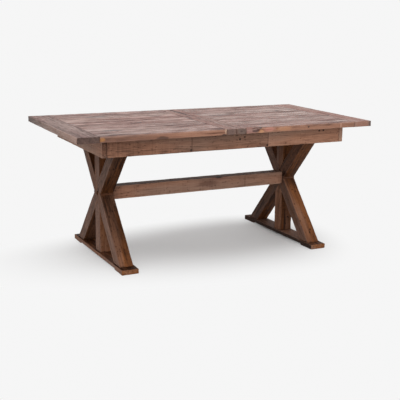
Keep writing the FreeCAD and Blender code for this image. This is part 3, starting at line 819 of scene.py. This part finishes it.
def leg(side, lean):
    node = side + ("_leg_leaning_back" if lean > 0 else "_leg_leaning_forward")
    boxLow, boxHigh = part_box(node)
    low = Vector((boxLow.x, -halfWidth, footTop))
    high = Vector((boxHigh.x, halfWidth, cleatBottom))
    bm = wornBoard(low, high, "z", ("-x", "+x"), node, trestleToneAndShade[node])
    bmesh.ops.transform(bm, matrix=leanMatrix(lean), verts=bm.verts)
    outward = -1 if side == "left" else 1
    middle = (boxLow.x + boxHigh.x) / 2
    beyond = middle - crossing["lapReach"] * outward * lean
    cutters = [lapCutter(middle, beyond, -lean)]
    if lean > 0:
        face = boxLow.x if side == "left" else boxHigh.x
        at = Vector((face, 0, crossHeight))
        cutters.append(drill(at, (1, 0, 0), crossing["counterbore"] / 2, crossing["counterboreDepth"]))
    bm = carved(bm, cutters)
    turn = Euler((lean * math.atan(slope), math.pi / 2, 0))
    middlePoint = Vector((middle, 0, crossHeight))
    finish = pineFinish("pine_" + node, trestlePine, middlePoint, turn, crossingShade(side))
    addPiece("worn_" + node, bm, "frame", finish, [node])


def post(side, rise):
    # cut to the two legs' flanks at the crossing
    node = side + ("_upper_post" if rise > 0 else "_lower_post")
    low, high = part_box(node)
    low.z, high.z = (crossHeight, cleatBottom) if rise > 0 else (footTop, crossHeight)
    bm = wornBoard(low, high, "z", ("-x", "+x"), node, trestleToneAndShade[node])
    apex = Vector((0, 0, crossHeight + rise * halfWidth / slope))
    for hand in (-1, 1):
        everything = bm.verts[:] + bm.edges[:] + bm.faces[:]
        flank = (0, hand, -rise * slope)
        cut = bmesh.ops.bisect_plane(bm, geom=everything, plane_co=apex, plane_no=flank,
                                     clear_outer=True)
        rim = [item for item in cut["geom_cut"] if isinstance(item, bmesh.types.BMEdge)]
        bmesh.ops.contextual_create(bm, geom=rim)
    bmesh.ops.remove_doubles(bm, verts=bm.verts, dist=crossing["weld"])
    middle = (low + high) / 2
    finish = pineFinish("pine_" + node, trestlePine, middle, grainTurns["z"], crossingShade(side))
    addPiece("worn_" + node, bm, "frame", finish, [node])


footShape = {"pad": 0.112, "relief": 0.009, "sole": 0.006}
footLooks = {"left": trestlePine, "right": footPine}


def relieve(bm):
    # raises the underside between the two pads
    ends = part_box("left_foot")[1].y
    padEdge = ends - footShape["pad"]
    for reach in (padEdge, padEdge - footShape["relief"]):
        for hand in (-1, 1):
            everything = bm.verts[:] + bm.edges[:] + bm.faces[:]
            at = (0, hand * reach, 0)
            bmesh.ops.bisect_plane(bm, geom=everything, plane_co=at, plane_no=(0, 1, 0))
    for vert in bm.verts:
        inside = padEdge - abs(vert.co.y)
        if inside > 0 and vert.co.z < footShape["sole"]:
            vert.co.z += min(inside, footShape["relief"])


for side in ("left", "right"):
    for lean in (-1, 1):
        leg(side, lean)
        post(side, lean)
    name = side + "_foot"
    board(name, *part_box(name), "y", footLooks[side], shape=relieve, tones=trestleToneAndShade[name])
    for name in (side + "_cleat", side + "_leaf_bearer"):
        board(name, *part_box(name), "y", trestlePine)
print("trestles made")


# Stretcher with the two barrel-nut bores at the back

stretcherLook = {
    "boreGap": 0.00015,
    # painted shade: the top face, which lies under the table top, is darker, and the front is darker at
    # its left end
    "tones": {"+z": -0.22, "-y": [(0.0, -0.18), (0.07, 0.05), (1.0, 0.04)]},
    "lineX": 0.296,
    "line": {"size": (0.003, 0.01, 0.08), "tint": (70, 46, 36), "share": 0.6, "ragged": 0.1},
    "stains": [      # along, up, size, tint and share
        (0.040, 0.374, (0.090, 0.02, 0.026), (78, 46, 36), 0.55),
        (0.125, 0.402, (0.080, 0.02, 0.018), (104, 56, 46), 0.45),
        (0.118, 0.409, (0.034, 0.040, 0.012), (16, 8, 6), 1.0),
        (0.310, 0.396, (0.110, 0.02, 0.026), (92, 62, 44), 0.3),
    ],
    "stainSoft": 0.7,
}


def stretcherBar(look):
    low, high = stretcherLow.copy(), stretcherHigh.copy()
    low.x, high.x = legHigh.x, -legHigh.x
    nutLow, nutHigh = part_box("barrel_nuts")
    radius = (nutHigh.z - nutLow.z) / 2
    bores = []
    for x in (nutLow.x + radius, nutHigh.x - radius):
        at = Vector((x, high.y, crossHeight))
        bores.append(drill(at, (0, 1, 0), radius + look["boreGap"], high.y - nutLow.y))
    marks = [mark((look["lineX"], low.y, crossHeight), **look["line"])]
    for x, z, size, tint, share in look["stains"]:
        marks.append(mark((x, low.y, z), size, tint, share, soft=look["stainSoft"]))
    board("stretcher", low, high, "x", apronPine, ("-x", "+x"), marks, bores, tones=look["tones"])


stretcherBar(stretcherLook)
print("stretcher made")


# Loose leaf, stowed under the top

def leafBoards():
    for node in ("leaf_left_board", "leaf_right_board"):
        board(node, *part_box(node), "x", topPine, slot="top_pine")
    low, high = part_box("leaf_planks")
    low.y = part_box("leaf_left_board")[1].y
    high.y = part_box("leaf_right_board")[0].y
    width = (high.x - low.x) / plankCount
    joined = bmesh.new()
    for number in range(plankCount):
        plankLow = Vector((low.x + number * width, low.y, low.z))
        plankHigh = Vector((plankLow.x + width, high.y, high.z))
        bm = wornBoard(plankLow, plankHigh, "y", ("-x", "+x", "-y", "+y"), "leaf_plank_%d" % number)
        mesh = bpy.data.meshes.new("leafPlank")
        bm.to_mesh(mesh)
        bm.free()
        joined.from_mesh(mesh)
        bpy.data.meshes.remove(mesh)
    finish = pineFinish("pine_leaf_planks", topPine, (low + high) / 2, grainTurns["y"])
    addPiece("worn_leaf_planks", joined, "frame", finish, ["leaf_planks"])


leafBoards()
print("leaf made")


# Fittings keep their own solids and get a finish

zincLook = {
    "stops": [(0.3, shade(112, 114, 116)), (0.7, shade(176, 178, 180))],
    "spangle": (160, 160, 160),
    "dull": (45, 45, 45),
    "rough": 0.22,
    "roughSpan": 0.3,
}
brassLook = {
    "stops": [(0.3, shade(86, 62, 34)), (0.5, shade(150, 116, 62)), (0.72, shade(192, 156, 92))],
    "tarnish": (70, 70, 70),
    "brushed": (300, 18, 300),
    "rough": 0.12,
    "tarnishSpan": 0.3,
    "brushedSpan": 0.25,
}


def zincFinish(look):
    material, wire, surface = blankFinish("zincSteel")
    place = wire.node("TexCoord", out="Object")
    spangle = place.noise(look["spangle"], 3.0)
    dull = place.noise(look["dull"], 2.0)
    wire.node("ValToRGB", {"stops": look["stops"]}, {"Fac": spangle}).feed(surface, "Base Color")
    (dull * look["roughSpan"] + look["rough"]).feed(surface, "Roughness")
    surface.inputs["Metallic"].default_value = 1.0
    return material


def brassFinish(look):
    material, wire, surface = blankFinish("agedBrass")
    place = wire.node("TexCoord", out="Object")
    tarnish = place.noise(look["tarnish"], 4.0)
    brushed = place.noise(look["brushed"], 2.0)
    wire.node("ValToRGB", {"stops": look["stops"]}, {"Fac": tarnish}).feed(surface, "Base Color")
    dullness = brushed * look["brushedSpan"] + (1 - tarnish) * look["tarnishSpan"]
    (dullness + look["rough"]).feed(surface, "Roughness")
    surface.inputs["Metallic"].default_value = 1.0
    return material


fittings = {
    "zinc": ["left_runner_screws", "right_runner_screws", "guide_screws", "coach_screws", "foot_screws",
             "stretcher_bolts", "stretcher_washers", "barrel_nuts"],
    "brass": ["front_latch", "back_latch", "latch_pivot_screws", "latch_keeper_screws"],
    "beech": ["left_front_runner", "left_back_runner", "right_front_runner", "right_back_runner",
              "front_guide_rail", "back_guide_rail", "seam_pins", "leaf_pins"],
    "pine": ["corner_blocks"],
    "crease": ["crossing_fillets"],
}
woods = {"beech": beechWood, "pine": trestlePine, "crease": creaseShadedPine}


def dressFittings(groups):
    metals = {"zinc": zincFinish(zincLook), "brass": brassFinish(brassLook)}
    for group, names in groups.items():
        for name in names:
            low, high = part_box(name)
            if group in woods:
                finish = pineFinish("pine_" + name, woods[group], (low + high) / 2, grainTurns["x"])
            else:
                finish = metals[group]
            nodes[name].material_slots[0].material = finish


dressFittings(fittings)
print("fittings dressed")
